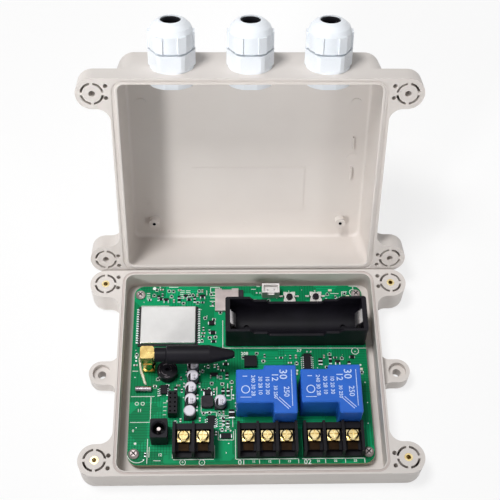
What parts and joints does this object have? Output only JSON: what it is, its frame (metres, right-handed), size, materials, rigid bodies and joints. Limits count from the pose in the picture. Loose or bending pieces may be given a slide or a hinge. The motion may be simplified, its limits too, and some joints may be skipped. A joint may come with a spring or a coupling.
{
  "type": "gsm relay switch",
  "caption": "Weatherproof relay switch in an opened box: green board with relays, screw terminals, cell cradle and antenna in a lugged tray, and a deep cover with cable glands.",
  "frame": {"origin": "centre of the tray's flat back face, midway between the two wall lugs", "axes": "+Z out of the wall, through the tray's mouth; -Y towards the screw terminals; +X to the right as the board is read"},
  "size_m": [0.1816, 0.2055, 0.1461],
  "materials": {
    "shell_plastic": "light grey-beige moulded ABS, fine satin",
    "gland_nylon": "white nylon, smooth",
    "black_rubber": "dark soft rubber",
    "seal_rubber": "grey silicone cord",
    "brass_metal": "plated brass",
    "gold_metal": "gold-plated brass",
    "board_laminate": "green solder mask over laminate",
    "plated_steel": "tin-plated sheet",
    "relay_plastic": "blue moulded case",
    "can_aluminium": "bare aluminium can",
    "white_plastic": "white moulded connector",
    "lamp_plastic": "clear lamp lens",
    "switch_metal": "steel cover over a black moulding",
    "ferrite": "grey ferrite",
    "black_plastic": "black moulding"
  },
  "bodies": {
    "tray": {"antenna_socket": "gold_metal", "base_tray": "shell_plastic", "battery_contacts": "plated_steel", "battery_holder": "black_plastic", "battery_lead_header": "white_plastic", "battery_lead_pins": "plated_steel", "board_screws": "plated_steel", "capacitor_bases": "black_plastic", "capacitor_cans": "can_aluminium", "card_socket": "plated_steel", "circuit_board": "board_laminate", "corner_inserts": "brass_metal", "crystal_can": "plated_steel", "expansion_header": "black_plastic", "indicator_leds": "lamp_plastic", "logic_chips": "black_plastic", "output_1_clamp_plates": "brass_metal", "output_1_contact_bars": "brass_metal", "output_1_terminal_block": "black_plastic", "output_2_clamp_plates": "brass_metal", "output_2_contact_bars": "brass_metal", "output_2_terminal_block": "black_plastic", "power_clamp_plates": "brass_metal", "power_contact_bars": "brass_metal", "power_inductor": "ferrite", "power_jack_body": "black_plastic", "power_jack_pin": "plated_steel", "power_terminal_block": "black_plastic", "radio_module_board": "board_laminate", "radio_shield_can": "plated_steel", "relay_case_1": "relay_plastic", "relay_case_2": "relay_plastic", "rim_seal": "seal_rubber", "small_components": "black_plastic", "sounder_case": "black_plastic", "switch_frame_1": "switch_metal", "switch_frame_2": "switch_metal"},
    "cover": {"cover_shell": "shell_plastic", "gland_body_1": "gland_nylon", "gland_body_2": "gland_nylon", "gland_body_3": "gland_nylon", "gland_washers": "black_rubber", "gland_lock_nuts": "gland_nylon", "gland_cable_seals": "black_rubber"},
    "cap_nut_1": {"gland_cap_nut_1": "gland_nylon"},
    "cap_nut_2": {"gland_cap_nut_2": "gland_nylon"},
    "cap_nut_3": {"gland_cap_nut_3": "gland_nylon"},
    "antenna": {"antenna_nut": "gold_metal", "antenna_elbow": "gold_metal", "antenna_whip": "black_plastic"},
    "button_1": {"switch_button_1": "black_plastic"},
    "button_2": {"switch_button_2": "black_plastic"},
    "screw_1": {"terminal_screw_1": "brass_metal"},
    "screw_2": {"terminal_screw_2": "brass_metal"},
    "screw_3": {"terminal_screw_3": "brass_metal"},
    "screw_4": {"terminal_screw_4": "brass_metal"},
    "screw_5": {"terminal_screw_5": "brass_metal"},
    "screw_6": {"terminal_screw_6": "brass_metal"},
    "screw_7": {"terminal_screw_7": "brass_metal"},
    "screw_8": {"terminal_screw_8": "brass_metal"}
  },
  "joints": [
    {"name": "cover_swing", "type": "hinge", "parent": "tray", "child": "cover", "pos_m": [0, 0.0607, 0.0155], "axis": [1, 0, 0], "range_deg": [0, 113.5]},
    {"name": "cap_nut_1_turn", "type": "hinge", "parent": "cover", "child": "cap_nut_1", "pos_m": [-0.041, 0.12991, 0.13027], "axis": [0, 0.3987, 0.9171], "range_deg": [0, 360]},
    {"name": "cap_nut_2_turn", "type": "hinge", "parent": "cover", "child": "cap_nut_2", "pos_m": [0, 0.12991, 0.13027], "axis": [0, 0.3987, 0.9171], "range_deg": [0, 360]},
    {"name": "cap_nut_3_turn", "type": "hinge", "parent": "cover", "child": "cap_nut_3", "pos_m": [0.041, 0.12991, 0.13027], "axis": [0, 0.3987, 0.9171], "range_deg": [0, 360]},
    {"name": "antenna_swivel", "type": "hinge", "parent": "tray", "child": "antenna", "pos_m": [-0.056, 0.004, 0.0202], "axis": [0, 0, 1], "range_deg": [-55, 8]},
    {"name": "button_1_press", "type": "slide", "parent": "tray", "child": "button_1", "axis": [0, 0, -1], "range_m": [0, 0.0003], "stiffness_N_per_m": 400, "springref_m": -0.0004},
    {"name": "button_2_press", "type": "slide", "parent": "tray", "child": "button_2", "axis": [0, 0, -1], "range_m": [0, 0.0003], "stiffness_N_per_m": 400, "springref_m": -0.0004},
    {"name": "screw_1_turn", "type": "hinge", "parent": "tray", "child": "screw_1", "pos_m": [-0.03588, -0.0394, 0.016], "axis": [0, 0, 1], "range_deg": [0, 360]},
    {"name": "screw_2_turn", "type": "hinge", "parent": "tray", "child": "screw_2", "pos_m": [-0.02572, -0.0394, 0.016], "axis": [0, 0, 1], "range_deg": [0, 360]},
    {"name": "screw_3_turn", "type": "hinge", "parent": "tray", "child": "screw_3", "pos_m": [-0.00176, -0.0394, 0.016], "axis": [0, 0, 1], "range_deg": [0, 360]},
    {"name": "screw_4_turn", "type": "hinge", "parent": "tray", "child": "screw_4", "pos_m": [0.0084, -0.0394, 0.016], "axis": [0, 0, 1], "range_deg": [0, 360]},
    {"name": "screw_5_turn", "type": "hinge", "parent": "tray", "child": "screw_5", "pos_m": [0.01856, -0.0394, 0.016], "axis": [0, 0, 1], "range_deg": [0, 360]},
    {"name": "screw_6_turn", "type": "hinge", "parent": "tray", "child": "screw_6", "pos_m": [0.03334, -0.0394, 0.016], "axis": [0, 0, 1], "range_deg": [0, 360]},
    {"name": "screw_7_turn", "type": "hinge", "parent": "tray", "child": "screw_7", "pos_m": [0.0435, -0.0394, 0.016], "axis": [0, 0, 1], "range_deg": [0, 360]},
    {"name": "screw_8_turn", "type": "hinge", "parent": "tray", "child": "screw_8", "pos_m": [0.05366, -0.0394, 0.016], "axis": [0, 0, 1], "range_deg": [0, 360]}
  ]
}
